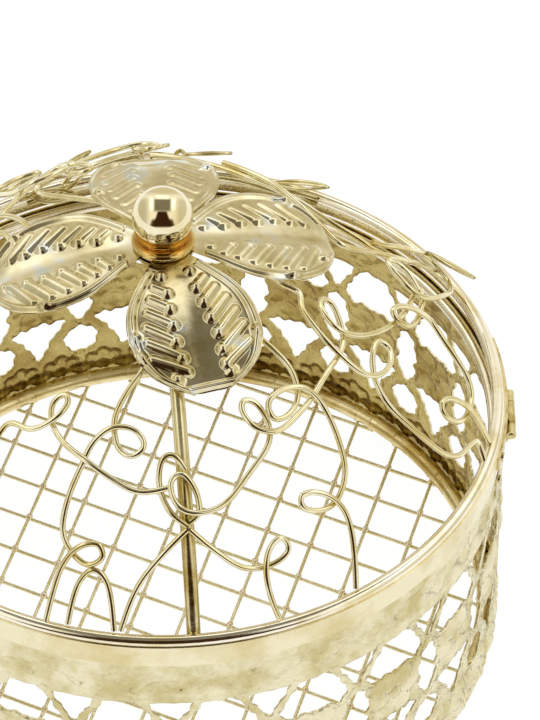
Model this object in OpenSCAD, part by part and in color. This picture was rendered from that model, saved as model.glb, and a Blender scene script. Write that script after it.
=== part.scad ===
// Round wedding card box of gold-plated wire and stamped sheet, with a hinged wire dome for a lid.
// The origin is the centre of the base, on the table. The hinge is at +X and the view side is -Y.

/* [Box] */
// Radius to the inside face of the lace wall
wall_r = 132.5; // [120:0.5:150]
// Height of the lace wall above the table
wall_h = 108.5; // [100:0.5:130]
// Thickness of the stamped lace sheet
lace_t = 0.8; // [0.6:0.1:1.2]
// Diameter of the rod in the base ring
base_rod_d = 6.4; // [5:0.1:8]
// Diameter of the rod in the rim ring
rim_rod_d = 5; // [4:0.1:6]
// How deep welded wires and sheets bite into each other
weld = 0.1; // [0.05:0.05:0.2]

/* [Lace] */
// Stamped rosettes round the wall
rosettes = 22; // [18:2:26]
// Azimuth of one of the rosettes
rosette_az = 34.1; // [26:0.1:42]
// Azimuth of the seam where the first sheet starts
seam_az = -27.6; // [-30:0.1:-25]
// Height of the plain border along the top of the lace
top_border = 21.5; // [18:0.5:26]
// Height of the flower border along the bottom of the lace
flower_border = 20.5; // [18:0.5:26]
// Gap where two lace sheets meet
seam_gap = 0.2; // [0.1:0.05:0.4]

/* [Floor mesh] */
// Diameter of the mesh wires
mesh_wire_d = 1.6; // [1.2:0.1:2.2]
// Distance between neighbouring lower mesh wires
mesh_pitch = 18.4; // [15:0.1:25]
// Distance between neighbouring upper mesh wires
cross_pitch = 19.7; // [15:0.1:25]
// Azimuth of the lower mesh wires
mesh_az = -25.7; // [-45:0.1:0]
// Angle between the lower and the upper mesh wires
mesh_angle = 99.7; // [85:0.1:100]
// Height of the lower wires above the table
mesh_clear = 0.3; // [0.1:0.1:1]

/* [Lid frame] */
// Height of the crown of the dome above the table
crown_h = 199.5; // [185:0.5:215]
// Diameter of the rod in the lid ring
lid_rod_d = 5; // [4:0.1:6]
// Thickness of the beaded band under the lid ring
band_t = 0.7; // [0.5:0.1:1]
// Height of the beaded band
band_h = 10; // [8:0.5:14]
// Gap between the wall and the band when the lid is shut
lid_gap = 0.5; // [0.3:0.1:1]
// Beads pressed into the band
beads = 136; // [100:1:160]
// Diameter of the dome ribs
rib_d = 5.4; // [4:0.1:6.5]
// Azimuth of the front rib
rib_az = -84.5; // [-90:0.5:-80]
// Diameter of the scroll wires
scroll_d = 2.4; // [2:0.1:2.8]

/* [Hinge] */
// Diameter of the hinge knuckles
knuckle_d = 4; // [3.6:0.1:5]
// Diameter of the hinge pin
pin_d = 1.9; // [1.5:0.1:2.2]
// Clearance all round the hinge pin
pin_clear = 0.05; // [0.03:0.01:0.1]
// Length of the hinge pin
pin_len = 25; // [22:0.5:30]
// Thickness of the hinge leaves
leaf_t = 0.9; // [0.7:0.1:1.2]
// Width of a hinge leaf in degrees of the wall
leaf_deg = 29; // [24:1:30]
// Diameter of the hinge rivets
rivet_d = 2; // [1.6:0.1:2.4]

/* [Flower and finial] */
// Reach of a petal from the middle of the lid
petal_reach = 66; // [56:1:72]
// Half of the widest width of a petal
petal_half_w = 25; // [20:0.5:28]
// Thickness of the petal sheet
petal_t = 0.8; // [0.6:0.1:1]
// Diameter of the ball finial
ball_d = 23.6; // [20:0.2:28]
// Diameter of the finial stud
stud_d = 4; // [3:0.5:5]
// Clearance round the stud
stud_clear = 0.1; // [0.05:0.05:0.2]
// Radius of the hub plate
hub_r = 12; // [10:0.5:14]

/* [Vine] */
// Diameter of the vine wires
vine_d = 1.9; // [1.5:0.1:2.2]
// Width of an open leaf
leaf_w = 8; // [6:0.5:10]
// Thickness of the leaves
vine_leaf_t = 1.3; // [1:0.1:1.6]

/* [Hidden] */
$fn = 96;

// Box
lace_out_r = wall_r + lace_t;
base_ring_r = wall_r - base_rod_d / 2 + weld;
rim_ring_r = wall_r - rim_rod_d / 2 + weld;
rim_ring_z = wall_h - rim_rod_d / 2;
lower_wire_z = mesh_clear + mesh_wire_d / 2;
upper_wire_z = lower_wire_z + mesh_wire_d - 2 * weld;
base_ring_z = upper_wire_z + mesh_wire_d / 2 - 2 * weld + base_rod_d / 2;

// Lid
band_in_r = lace_out_r + 0.2;
band_out_r = band_in_r + band_t;
band_z = wall_h + lid_gap;
lid_ring_r = band_in_r - lid_rod_d / 2 + weld;
lid_ring_z = band_z + band_h + lid_rod_d / 2 - 2;
dome_rise = crown_h - lid_ring_z;
dome_r = (lid_ring_r * lid_ring_r + dome_rise * dome_rise) / (2 * dome_rise);
dome_z = crown_h - dome_r;
rib_r = dome_r - scroll_d / 2 - rib_d / 2 + 0.3;

// Hinge
leaf_gap = 0.2;
pin_x = band_out_r + leaf_gap + knuckle_d / 2;
pin_z = wall_h + lid_gap / 2;
knuckle_w = 6;
knuckle_gap = 0.3;
mid_knuckle_w = 11.4;
box_leaf_z = wall_h - 12;
box_leaf_top = pin_z - knuckle_d / 2 + 0.2;
lid_leaf_z = pin_z + knuckle_d / 2 - 0.3;
lid_leaf_top = band_z + band_h - 0.5;
rivet_az = leaf_deg / 2 - 2;
rivet_head = 1.7;

// Flower and finial
petal_az = [-73, 16, 96, 185];
hub_z = dome_z + rib_r + rib_d / 2 - 0.2;
hub_top = crown_h + 1.6;
petal_lift = hub_top - crown_h + petal_t / 2;
collar_z = hub_top + petal_t;
collar_r = 10.4;
collar_bead = 1.8;
collar_h = 7.4;
ball_z = collar_z + 1.8 + ball_d / 2;
stud_bore_r = stud_d / 2 + stud_clear;
nut_h = 3.2;
nut_af = 7;

// Facets round a wire, and steps between two of its points
tube_sides = 6;
tube_steps = 3;

// ---------------------------------------------------------------- wires bent over the dome

// A plan point [x, y, lift] becomes a point that far outside the dome. The plan is drawn for a
// lid ring of one radius, and stretched to the real one.
function fit(p) = let (drawn_r = 131) [p.x * lid_ring_r / drawn_r, p.y * lid_ring_r / drawn_r, p.z];
function dome_normal(p) = let (r = norm([p.x, p.y]), up = sqrt(dome_r * dome_r - r * r))
    [p.x, p.y, up] / dome_r;
function on_dome(p) = [0, 0, dome_z] + dome_normal(p) * (dome_r + p.z);

// A smooth curve through points, with the same number of steps in each stretch.
function curve_at(a, b, c, d, t) = 0.5 * (2 * b + (c - a) * t + (2 * a - 5 * b + 4 * c - d) * t * t
    + (3 * b - a - 3 * c + d) * t * t * t);
function smooth(pts, steps) = let (n = len(pts)) concat(
    [for (i = [0:n - 2], k = [0:steps - 1])
        curve_at(pts[max(i - 1, 0)], pts[i], pts[i + 1], pts[min(i + 2, n - 1)], k / steps)],
    [pts[n - 1]]);
function unit(v) = v / norm(v);

// A round wire along 3D points, with its own outward direction at each.
module wire(path, outward, d, sides = tube_sides) {
    n = len(path);
    rings = [for (i = [0:n - 1])
        let (along = unit(path[min(i + 1, n - 1)] - path[max(i - 1, 0)]),
             side = unit(cross(along, outward[i])),
             out = cross(side, along))
        for (k = [0:sides - 1])
            path[i] + d / 2 * (cos(360 * k / sides) * out + sin(360 * k / sides) * side)];
    skin = [for (i = [0:n - 2], k = [0:sides - 1])
        let (a = i * sides + k, b = i * sides + (k + 1) % sides)
        each [[a, a + sides, b], [b, a + sides, b + sides]]];
    start_cap = [for (k = [1:sides - 2]) [0, k, k + 1]];
    end_cap = [for (k = [1:sides - 2]) [0, k + 1, k] + (n - 1) * sides * [1, 1, 1]];
    polyhedron(points = rings, faces = concat(skin, start_cap, end_cap), convexity = 6);
}

module dome_wire(plan, d, steps = tube_steps) {
    pts = [for (p = smooth(plan, steps)) fit(p)];
    wire([for (p = pts) on_dome(p)], [for (p = pts) dome_normal(p)], d);
}

module rod_ring(r, z, d) {
    translate([0, 0, z])
        rotate_extrude($fn = 180)
            translate([r, 0])
                circle(d = d, $fn = 32);
}

// A curved strip of sheet standing round the axis.
module strip(r_in, r_out, z0, z1, az, deg) {
    rotate([0, 0, az])
        rotate_extrude(angle = deg, $fn = 180)
            translate([r_in, z0])
                square([r_out - r_in, z1 - z0]);
}

// ---------------------------------------------------------------- box

module base_ring() {
    color("#8f7a3a")
        rod_ring(base_ring_r, base_ring_z, base_rod_d);
}

// One set of parallel mesh wires, each cut to end under the base ring. The shift is the share of a
// pitch between the middle of the floor and the first wire.
module mesh_wires(az, z, pitch, shift) {
    count = ceil(base_ring_r / pitch);
    for (i = [-count:count]) {
        off = (i + shift) * pitch;
        half = abs(off) < base_ring_r - 2 ? sqrt(base_ring_r * base_ring_r - off * off) : 0;
        if (half > base_rod_d)
            translate([0, 0, z])
                rotate([0, 0, az])
                    translate([-half, off, 0])
                        rotate([0, 90, 0])
                            rotate([0, 0, 22.5])
                                cylinder(d = mesh_wire_d, h = 2 * half, $fn = 8);
    }
}

module base_mesh() {
    color("#b5a878") {
        mesh_wires(mesh_az, lower_wire_z, mesh_pitch, 0.776);
        mesh_wires(mesh_az + mesh_angle, upper_wire_z, cross_pitch, 0.577);
    }
}

module rim_ring() {
    color("#d9cf9a")
        rod_ring(rim_ring_r, rim_ring_z, rim_rod_d);
}

// The lace is drawn for this pitch and this height of open work, and stretched to the real ones.
draw_pitch = 37.84;
draw_h = 66.5;
lace_pitch = 2 * PI * wall_r / rosettes;
lace_sx = lace_pitch / draw_pitch;
lace_sz = (wall_h - top_border - flower_border) / draw_h;
function lace_point(p) = [p.x * lace_sx, flower_border + p.y * lace_sz];
function oval(cx, cy, rx, ry, n) = [for (k = [0:n - 1])
    [cx + rx * cos(360 * k / n), cy + ry * sin(360 * k / n)]];
function half_outline(pts) = concat(pts, [for (i = [len(pts) - 1:-1:0])
    if (pts[i].x > 0) [-pts[i].x, pts[i].y]]);

// Openings on the middle line of a rosette: the high window over it and the low one under it.
high_window = half_outline([[0, 47.1], [3.5, 46.5], [6, 47.5], [9, 46.1], [12, 47.1], [14.2, 50],
                            [13.6, 54], [11.2, 58.7], [8.2, 63.5], [6.2, 65.9], [3, 66.5]]);
low_window = half_outline([[0, 1], [1.6, 2.5], [4, 7.5], [7.5, 13], [11.6, 17.9], [12, 19.9],
                           [9, 21.5], [6, 20.5], [3, 21.7]]);
// Openings on the line between two rosettes: a small fan, a tall egg and a round eye.
fan = half_outline([[0, 52.3], [2.4, 54.9], [6.4, 61.5], [8.3, 64.9], [6.5, 66.5]]);
egg = half_outline([[0, 19.7], [3, 21.9], [5.4, 27], [4.8, 31], [6, 35.5], [5.2, 40],
                    [3.6, 44.5], [1.4, 46.9]]);
eye = oval(0, 7.9, 7.3, 7.3, 16);

module lace_cut(outline, az) {
    rotate([0, 0, az])
        translate([wall_r + 3 * lace_t, 0, 0])
            rotate([90, 0, 90])
                translate([0, 0, -6 * lace_t])
                    linear_extrude(9 * lace_t)
                        polygon([for (p = outline) lace_point(p)]);
}

// One of the two half-round sheets. It is cut by every opening that reaches into its half.
module lace_panel(index) {
    step = 360 / rosettes;
    start = seam_az + index * 180;
    edge = asin(seam_gap / 2 / wall_r);
    first = ceil((start - rosette_az) / step) - 1;
    color("#b09a5c")
        difference() {
            strip(wall_r, lace_out_r, 0, wall_h, start + edge, 180 - 2 * edge);
            for (k = [first:first + rosettes / 2 + 1]) {
                lace_cut(high_window, rosette_az + k * step);
                lace_cut(low_window, rosette_az + k * step);
                lace_cut(fan, rosette_az + (k + 0.5) * step);
                lace_cut(egg, rosette_az + (k + 0.5) * step);
                lace_cut(eye, rosette_az + (k + 0.5) * step);
            }
            if (index == 0)
                rivet_holes(box_rivet_z);
        }
}

// ---------------------------------------------------------------- hinge

box_rivet_z = (box_leaf_z + box_leaf_top) / 2;
lid_rivet_z = (lid_leaf_z + lid_leaf_top) / 2;

module radial_rod(az, z, r0, r1, d) {
    rotate([0, 0, az])
        translate([r0, 0, z])
            rotate([0, 90, 0])
                cylinder(d = d, h = r1 - r0, $fn = 24);
}

module rivet_holes(z) {
    for (az = [-rivet_az, rivet_az])
        radial_rod(az, z, wall_r - 3, band_out_r + 3, rivet_d + 2 * pin_clear);
}

module rivets(z, r_in, r_out) {
    head_h = 0.7;
    for (az = [-rivet_az, rivet_az]) {
        radial_rod(az, z, r_in - head_h, r_out + head_h, rivet_d);
        radial_rod(az, z, r_out, r_out + head_h, 2 * rivet_head);
        radial_rod(az, z, r_in - head_h, r_in, 2 * rivet_head);
    }
}

module hinge_box_rivets() {
    color("#c9b978")
        rivets(box_rivet_z, wall_r, lace_out_r + leaf_t);
}

module hinge_lid_rivets() {
    color("#c9b978")
        rivets(lid_rivet_z, band_in_r, band_out_r + leaf_t);
}

module knuckle(y0, y1) {
    translate([pin_x, y0, pin_z])
        rotate([-90, 0, 0])
            cylinder(d = knuckle_d, h = y1 - y0, $fn = 48);
}

module pin_bore() {
    translate([pin_x, -pin_len, pin_z])
        rotate([-90, 0, 0])
            cylinder(d = pin_d + 2 * pin_clear, h = 2 * pin_len, $fn = 48);
}

module hinge_box_leaf() {
    inner = mid_knuckle_w / 2 + knuckle_gap;
    color("#cdbe82")
        difference() {
            union() {
                strip(lace_out_r, lace_out_r + leaf_t, box_leaf_z, box_leaf_top - 0.6,
                      -leaf_deg / 2, leaf_deg);
                for (y = [-inner - knuckle_w, inner]) {
                    knuckle(y, y + knuckle_w);
                    translate([0, y + knuckle_w, 0])
                        rotate([90, 0, 0])
                            linear_extrude(knuckle_w)
                                polygon([[lace_out_r + 0.1, box_leaf_top - 4],
                                         [pin_x - 1, box_leaf_top - 0.4],
                                         [pin_x + knuckle_d / 2 - 0.6, pin_z - 1],
                                         [pin_x - 1, pin_z - 0.2],
                                         [pin_x - knuckle_d / 2 + 0.1, pin_z - 0.6],
                                         [lace_out_r + 0.1, box_leaf_top - 1]]);
                }
            }
            pin_bore();
            rivet_holes(box_rivet_z);
        }
}

module hinge_lid_leaf() {
    color("#cdbe82")
        difference() {
            union() {
                strip(band_out_r, band_out_r + leaf_t, lid_leaf_z + 0.6, lid_leaf_top,
                      -leaf_deg / 2, leaf_deg);
                knuckle(-mid_knuckle_w / 2, mid_knuckle_w / 2);
                translate([0, mid_knuckle_w / 2, 0])
                    rotate([90, 0, 0])
                        linear_extrude(mid_knuckle_w)
                            polygon([[band_out_r + 0.1, lid_leaf_z + 4],
                                     [pin_x - 0.6, lid_leaf_z + 0.2],
                                     [pin_x + knuckle_d / 2 - 0.6, pin_z + 1],
                                     [pin_x - 1, pin_z + 0.2],
                                     [pin_x - knuckle_d / 2 + 0.1, pin_z + 0.6],
                                     [band_out_r + 0.1, lid_leaf_z]]);
            }
            pin_bore();
            rivet_holes(lid_rivet_z);
        }
}

module hinge_pin() {
    color("#a89558")
        translate([pin_x, -pin_len / 2, pin_z])
            rotate([-90, 0, 0])
                cylinder(d = pin_d, h = pin_len, $fn = 48);
}

// ---------------------------------------------------------------- lid frame

module lid_ring() {
    color("#e8dfb4")
        rod_ring(lid_ring_r, lid_ring_z, lid_rod_d);
}

module lid_band() {
    dimple_r = 1;
    color("#c2ae66")
        difference() {
            strip(band_in_r, band_out_r, band_z, band_z + band_h, 0, 360);
            for (k = [0:beads - 1])
                rotate([0, 0, 360 * k / beads])
                    translate([band_in_r - dimple_r + 0.4, 0, band_z + 2.5])
                        sphere(r = dimple_r, $fn = 24);
            rivet_holes(lid_rivet_z);
        }
}

// A rib starts under the hub plate and ends on the inside of the lid ring.
module rib(az) {
    top = asin(6 / rib_r);
    low = acos((lid_ring_z - dome_z - 1) / rib_r);
    color("#cdbe82")
        translate([0, 0, dome_z])
            rotate([90, 0, az])
                rotate([0, 0, 90 - low])
                    rotate_extrude(angle = low - top, $fn = 180)
                        translate([rib_r, 0])
                            circle(d = rib_d, $fn = 32);
}

module rib_front() {
    rib(rib_az);
}

module rib_back() {
    rib(rib_az + 180);
}

// ---------------------------------------------------------------- hub and finial

module hub_plate() {
    boss_r = 8;
    plate_t = 1.4;
    color("#b5a25a")
        difference() {
            union() {
                translate([0, 0, hub_top - plate_t])
                    cylinder(r = hub_r, h = plate_t);
                translate([0, 0, hub_z])
                    cylinder(r = boss_r, h = hub_top - hub_z);
            }
            cylinder(r = stud_bore_r, h = 2 * crown_h);
        }
}

module hub_nut() {
    color("#a89558")
        translate([0, 0, hub_z - nut_h])
            difference() {
                cylinder(d = nut_af / cos(30), h = nut_h, $fn = 6);
                translate([0, 0, -1])
                    cylinder(d = stud_d, h = nut_h + 2);
            }
}

module finial_stud() {
    color("#a89558")
        translate([0, 0, hub_z - nut_h - 1])
            cylinder(d = stud_d, h = ball_z - 2 - (hub_z - nut_h - 1));
}

module finial_collar() {
    color("#c08a20")
        difference() {
            translate([0, 0, collar_z])
                rotate_extrude()
                    union() {
                        square([collar_r - 0.6, collar_h]);
                        square([collar_r + 0.8, 2]);
                        translate([collar_r, 3.1])
                            circle(collar_bead, $fn = 32);
                        translate([collar_r - 0.2, 6])
                            circle(collar_bead - 0.4, $fn = 32);
                    }
            translate([0, 0, ball_z])
                sphere(d = ball_d + 0.1, $fn = 96);
            cylinder(r = stud_bore_r, h = 2 * crown_h);
        }
}

module finial_ball() {
    color("#e6dcb0")
        difference() {
            translate([0, 0, ball_z])
                sphere(d = ball_d, $fn = 96);
            translate([0, 0, ball_z - ball_d])
                cylinder(r = stud_bore_r, h = ball_d - 1.5);
        }
}

// ---------------------------------------------------------------- petals

// Half width of the petal along its length, from the root to the blunt tip.
petal_shape = [[0, 3.6], [0.17, 12.3], [0.4, 22.5], [0.63, 25], [0.82, 21.5], [0.93, 15], [1, 7]];
petal_root = 4.6;
petal_rows = 12;
petal_cols = 10;
petal_edge = [for (p = smooth(petal_shape, 2)) p];
petal_sheet_rows = len(petal_edge);

// Height of the sheet over the dome: flat at the hub, a sunk middle channel that runs out before
// the tip, a raised edge and a tip bent down.
function petal_over(s, w, half) =
    let (tip = max(s / petal_reach - 0.86, 0) / 0.14,
         channel = sin(90 * min(max(s - 8, 0) / 16, 1)) * exp(-w * w / 30) * (1 - tip))
    petal_lift + petal_seat(norm([s, w])) - 1.5 * channel
        + 1.1 * pow(abs(w) / half, 6) * min(s / 14, 1) - 1.8 * tip * tip;
// What keeps the root flat on the hub plate, where the dome under it falls away.
function petal_seat(r) = (dome_r + petal_lift) * (1 / cos(asin(min(r, hub_r) / dome_r)) - 1);

module petal(az) {
    rows = [for (e = petal_edge)
        let (s = petal_root + e.x * (petal_reach - petal_root), half = e.y * petal_half_w / 25)
        [for (j = [0:petal_cols])
            let (w = half * sin(90 * (2 * j / petal_cols - 1)))
            [s, w, petal_over(s, w, half)]]];
    nr = len(rows);
    nc = petal_cols + 1;
    function skin_point(p, up) = on_dome([p.x, p.y, p.z + up * petal_t / 2]);
    top = [for (row = rows) for (p = row) skin_point(p, 1)];
    low = [for (row = rows) for (p = row) skin_point(p, -1)];
    m = nr * nc;
    edge = concat([for (j = [0:nc - 1]) j],
                  [for (i = [1:nr - 1]) i * nc + nc - 1],
                  [for (j = [nc - 2:-1:0]) (nr - 1) * nc + j],
                  [for (i = [nr - 2:-1:1]) i * nc]);
    faces = concat(
        [for (i = [0:nr - 2], j = [0:nc - 2]) let (a = i * nc + j)
            each [[a, a + 1, a + nc], [a + 1, a + nc + 1, a + nc]]],
        [for (i = [0:nr - 2], j = [0:nc - 2]) let (a = m + i * nc + j)
            each [[a, a + nc, a + 1], [a + 1, a + nc, a + nc + 1]]],
        [for (k = [0:len(edge) - 1]) let (a = edge[k], b = edge[(k + 1) % len(edge)])
            each [[a, m + a, b], [b, m + a, m + b]]]);
    color("#d9d4ae")
        rotate([0, 0, az])
            polyhedron(points = concat(top, low), faces = faces, convexity = 6);
}

module petal_front() {
    petal(petal_az[0]);
}

module petal_right() {
    petal(petal_az[1]);
}

module petal_back() {
    petal(petal_az[2]);
}

module petal_left() {
    petal(petal_az[3]);
}

// ---------------------------------------------------------------- scroll wires

// Each route is [x, y, lift] in plan. The lift takes one pass of a curl over the other.
over = 1.35;
scroll_routes = [
    // The long wire with four curls, from the front rib to the right
    [[11, -104, 0], [14.5, -101, 0], [13, -95, 0.4], [8, -90.5, 0.8], [3.6, -93.5, 1.4],
     [6, -99.5, 2.2], [13, -101.5, 2.7], [24, -98, 1], [33, -88, 0], [40, -78.5, -0.6],
     [41, -71.5, -over], [36.5, -65, -0.6], [31, -64.5, 0], [30.5, -69, 0.4], [36, -73.8, 1.2],
     [44, -72.6, over], [51, -65.5, 0.6], [57, -57, 0], [63, -45, 0], [68.5, -34, -0.6],
     [69, -24.5, -over], [65, -14.5, -0.6], [60.5, -14.5, 0], [60.5, -20.5, 0.6],
     [66, -27, over], [75, -25.6, 0.8], [84.6, -16.8, 0], [91.2, -6.1, 0], [94.5, 2.8, 0.2],
     [96.3, 9.8, 0.5], [97.4, 16, 0]],
    // From the crossing down to the lid ring
    [[57, -57, 1.9], [61, -59.5, 0.6], [66, -67, 0], [69.6, -77, -0.5], [67.5, -86, -over],
     [61.5, -91.6, -0.8], [54, -93.6, 0], [52.4, -90.6, 0.5], [57, -88, 0.9],
     [64.5, -87.6, over], [70, -91, 0.8], [72.6, -98, 0], [73.4, -106.6, 0]],
    // From the crossing round a curl and up under the front petal
    [[57, -57, 1.9], [52, -56, 3], [45, -58.6, 3], [39.4, -64.4, 2.9], [41.6, -69.4, 2.4],
     [47, -67, 1.2], [51, -60.6, 0.2], [50.6, -53, 0], [46.4, -46.4, 0], [36, -38.6, 0],
     [26, -33, 0], [12, -22, 0]],
    // From the front rib down to the ring, with a curl
    [[11, -106, 0], [19, -110, 0], [29, -113.2, -0.4], [36.6, -112.6, -over], [43.6, -109.8, -0.8],
     [48, -105.6, 0], [45, -103.2, 0.6], [40.4, -107, 1.2], [39, -112.4, over],
     [41, -118, 0.6], [44.6, -122, 0]],
    // Round the right side
    [[38, -5, 0], [45, -12, 0], [52, -14.6, 0.4], [52.6, -23, 1.2], [59, -32.4, 2.2],
     [68, -38.8, 1.8], [76, -41.4, over], [82.4, -38.4, over], [86.6, -31, 0.8], [86.6, -24, 0],
     [82.4, -23, -0.6], [80.8, -31, -over], [82, -40.6, -over], [87, -47.6, -0.6],
     [96, -51, 0], [107, -51.4, 0], [114, -46.6, 0], [118.6, -38.4, 0], [121.6, -34, 0],
     [124.6, -38, 0]],
    // The two curls beside the hinge
    [[99.3, 17, 1.2], [99.9, 10.5, 0.7], [99.6, 3.4, -1], [97, -4.5, -0.2], [93.6, -9.6, 1.2],
     [90.2, -10.6, 2], [87.6, -9.6, 2.3], [86.8, -7, 2.7], [89.4, -3.4, 3], [93.8, -0.4, 2.6],
     [98.6, 1.8, 1.7], [103.3, 2.6, 0.6], [107.6, -0.7, 0], [111.4, -4.2, 0], [115.1, -7.4, 0],
     [118.8, -10.6, -0.4], [120.4, -16, -1], [119.6, -23, -over], [116.4, -31, -0.9],
     [112.2, -35.6, -0.3], [108.4, -36.6, 0], [106.8, -33.8, 0.4], [108.6, -30, 0.9],
     [112.4, -27.4, 1.2], [117, -26, over], [121.6, -26.6, 0.9], [126.4, -28.6, 0]],
    // From under the left petal down the left side
    [[-8, -22, 0], [-5, -40, 0], [-6, -54, 0], [-12.4, -63, 0], [-17.6, -72, -over],
     [-16.4, -81.6, -1], [-10.6, -85.2, 0], [-6, -82, 0.6], [-9.6, -77, 1.1], [-18, -75.6, over],
     [-25.6, -79.6, 0], [-30, -86, -over], [-35, -95, -0.6], [-37.2, -103, -over],
     [-34, -109, -over], [-27.4, -113.2, 0], [-21.6, -112, 0.6], [-23.4, -108.4, 1.1],
     [-31, -108.4, over], [-37, -112, 0.8], [-41, -118, 0], [-43.4, -122.6, 0]],
    // From the front rib across to the left side
    [[4, -94.6, 0], [-8, -96, 0.2], [-19, -91, 0], [-29, -84, over], [-37, -77.4, 0.2],
     [-41.6, -69.6, -over], [-41, -63.4, -0.6], [-36.4, -61.4, 0], [-35, -65.4, 0.7],
     [-40, -69.8, over], [-49, -71, 0.6], [-58, -66, 0], [-65, -74, 0], [-72, -86, -over],
     [-80, -89, -0.6], [-85, -83, 0], [-80, -78.6, 0.7], [-73.6, -83.6, over],
     [-71.6, -94, 0.8], [-76, -105, 0]],
    // The short loop on the front rib
    [[10, -105, 0], [3.4, -101.4, 0], [-0.6, -94, -1.9], [0.4, -86.6, 0], [5, -85, 0],
     [9.4, -89.4, 0]],
    // From the front rib down to the ring on the left
    [[10, -106, 0], [0, -113, 0], [-9, -120, 0], [-15, -128.4, 0]],
    // The small curl on the lid ring
    [[-35, -124.6, 0], [-31.6, -117.6, 0], [-26, -114.4, 0], [-20.8, -117, 0], [-18.6, -122, 0],
     [-17.6, -128.2, 0]]
];

// The wires of the right side behind the hinge.
right_routes = [
    // From the back rib along the back and down to the right
    [[-6.6, 78, 0], [2, 74, 0], [13, 68, 0], [24, 61, 0.2], [33, 55, 0.3], [42, 50, 0.5],
     [53, 43.6, 0.2], [64, 35.6, 0], [74, 31.8, 0], [80, 29.4, 0], [86, 28.6, 0]],
    // Beside it, dipping towards the right petal, and on to the lid ring
    [[22, 64.5, 1.8], [32, 56.5, 2.4], [41, 49.2, 2.7], [49, 42, 1.6], [57, 34, 0.4], [63, 27, 0],
     [68, 21.6, 0], [74, 22.6, 0], [80, 24.6, 0.6], [87, 26.4, 2], [94, 32, 1.2], [100, 40.4, 0],
     [108, 47, 0], [118.4, 52.4, 0]],
    // The flat double loop over the ends of both, above the hinge
    [[97.6, 13.4, 2.1], [95.4, 18, 2.1], [92, 22.6, 2.1], [88.4, 24, 2.1], [85.8, 22, 2.1],
     [86.6, 18.4, 2.1], [89.6, 14.6, 2.2], [93.8, 10.6, 2.6], [98.4, 9.8, 3], [102.4, 13.4, 3],
     [106.4, 20.4, 2.4], [110.6, 31, 2.1], [110.9, 39, 2.1], [108.2, 44.8, 2.1], [104.2, 48.8, 2.1],
     [100, 47.6, 2.1], [94.4, 41.4, 2.4], [88.6, 35.4, 2.4], [84, 31.6, 2.1], [79.8, 30, 2.1]]
];

module scroll(route, turn = 0) {
    color("#d4c68c")
        rotate([0, 0, turn])
            dome_wire(route, scroll_d);
}

// ---------------------------------------------------------------- vine

vine_routes = [
    // From the lid ring up the back of the dome, ending in a leaf
    [[-60.7, 116.2, -3.5], [-53.2, 119.6, -3.5], [-47.2, 121.1, -3.4], [-41.9, 121.6, -2.5],
     [-37.9, 120.3, -1.4], [-31.3, 118.4, 0.7], [-24.9, 117, 1.1], [-19.3, 116.4, 1.7]],
    // Along the whole back, from lid ring to lid ring
    [[-62.8, 113.3, -1.4], [-58.6, 115.1, -1.3], [-52.5, 114.6, -0.2], [-46.9, 114.8, -0.2],
     [-39.7, 117.4, -0.6], [-35.3, 117, -0.4], [-21.6, 117.5, 0.1], [-12.6, 117.5, 0.4],
     [-6.3, 116.7, 0.9], [3.7, 118.9, 0.2], [11.9, 121.5, -0.2], [24.6, 122, -1.2],
     [30.2, 122.2, -2.3], [43, 120, -3.6], [52.3, 117.6, -2.6], [60.9, 114.4, -1.7]],
    // The hook under it
    [[12, 120.5, -0.6], [11.4, 122.9, -2.2], [13, 125.9, -3.1], [17.2, 126.8, -3.1],
     [20.5, 126.8, -2.9], [33.2, 124.7, -3.1], [42.9, 122.4, -3.8], [53.1, 119.2, -3.7],
     [61.5, 115.7, -3.4]],
    // The narrow upright eye that the long wire runs through
    [[6, 122.9, -6.8], [5.9, 120.7, -4.3], [6, 118.2, -1.3], [5.7, 116.5, 0.8], [4, 115.8, 1.8],
     [2.4, 116.6, 0.8], [2.3, 118.4, -1.3], [2.5, 120.8, -4.3], [2.6, 123, -6.8]]
];

module vine_wire(route) {
    color("#c9b978")
        dome_wire(route, vine_d, 2);
}

// Each leaf: its foot in plan, then [heading, pitch, roll] and its length.
vine_leaf_places = [
    [[-48.2, 114, 0.7], [12, 35, -16], 19],
    [[-58.7, 114.3, -2.7], [12, -5, 24], 19],
    [[-18.2, 116.2, 2.1], [4, 12, -32], 18],
    [[5.8, 118.6, 1.3], [-2, 4, -38], 19],
    [[42.9, 119.8, -1.9], [-22, 14, -6], 25],
    [[30, 122, -1.2], [-17, -10, -36], 15],
    [[101.1, 48.4, 3.8], [-9, -30, -30], 22]
];

// An open leaf: a pointed wire outline with a midrib, its stem end at the origin.
module open_leaf(length) {
    bow_r = (length * length + leaf_w * leaf_w) / 4 / leaf_w;
    rim = 1.5;
    module lens(inset) {
        intersection() {
            translate([length / 2, bow_r - leaf_w / 2])
                circle(bow_r - inset, $fn = 96);
            translate([length / 2, leaf_w / 2 - bow_r])
                circle(bow_r - inset, $fn = 96);
        }
    }
    linear_extrude(vine_leaf_t)
        union() {
            difference() {
                lens(0);
                lens(rim);
            }
            translate([0.5, -0.6])
                square([length - 2, 1.2]);
        }
}

module vine_leaves() {
    color("#cdbe82")
        for (v = vine_leaf_places)
            translate(on_dome(fit(v[0])))
                rotate([0, -v[1].y, v[1].x])
                    rotate([v[1].z, 0, 0])
                        translate([-0.5, 0, -vine_leaf_t / 2])
                            open_leaf(v[2]);
}

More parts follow.
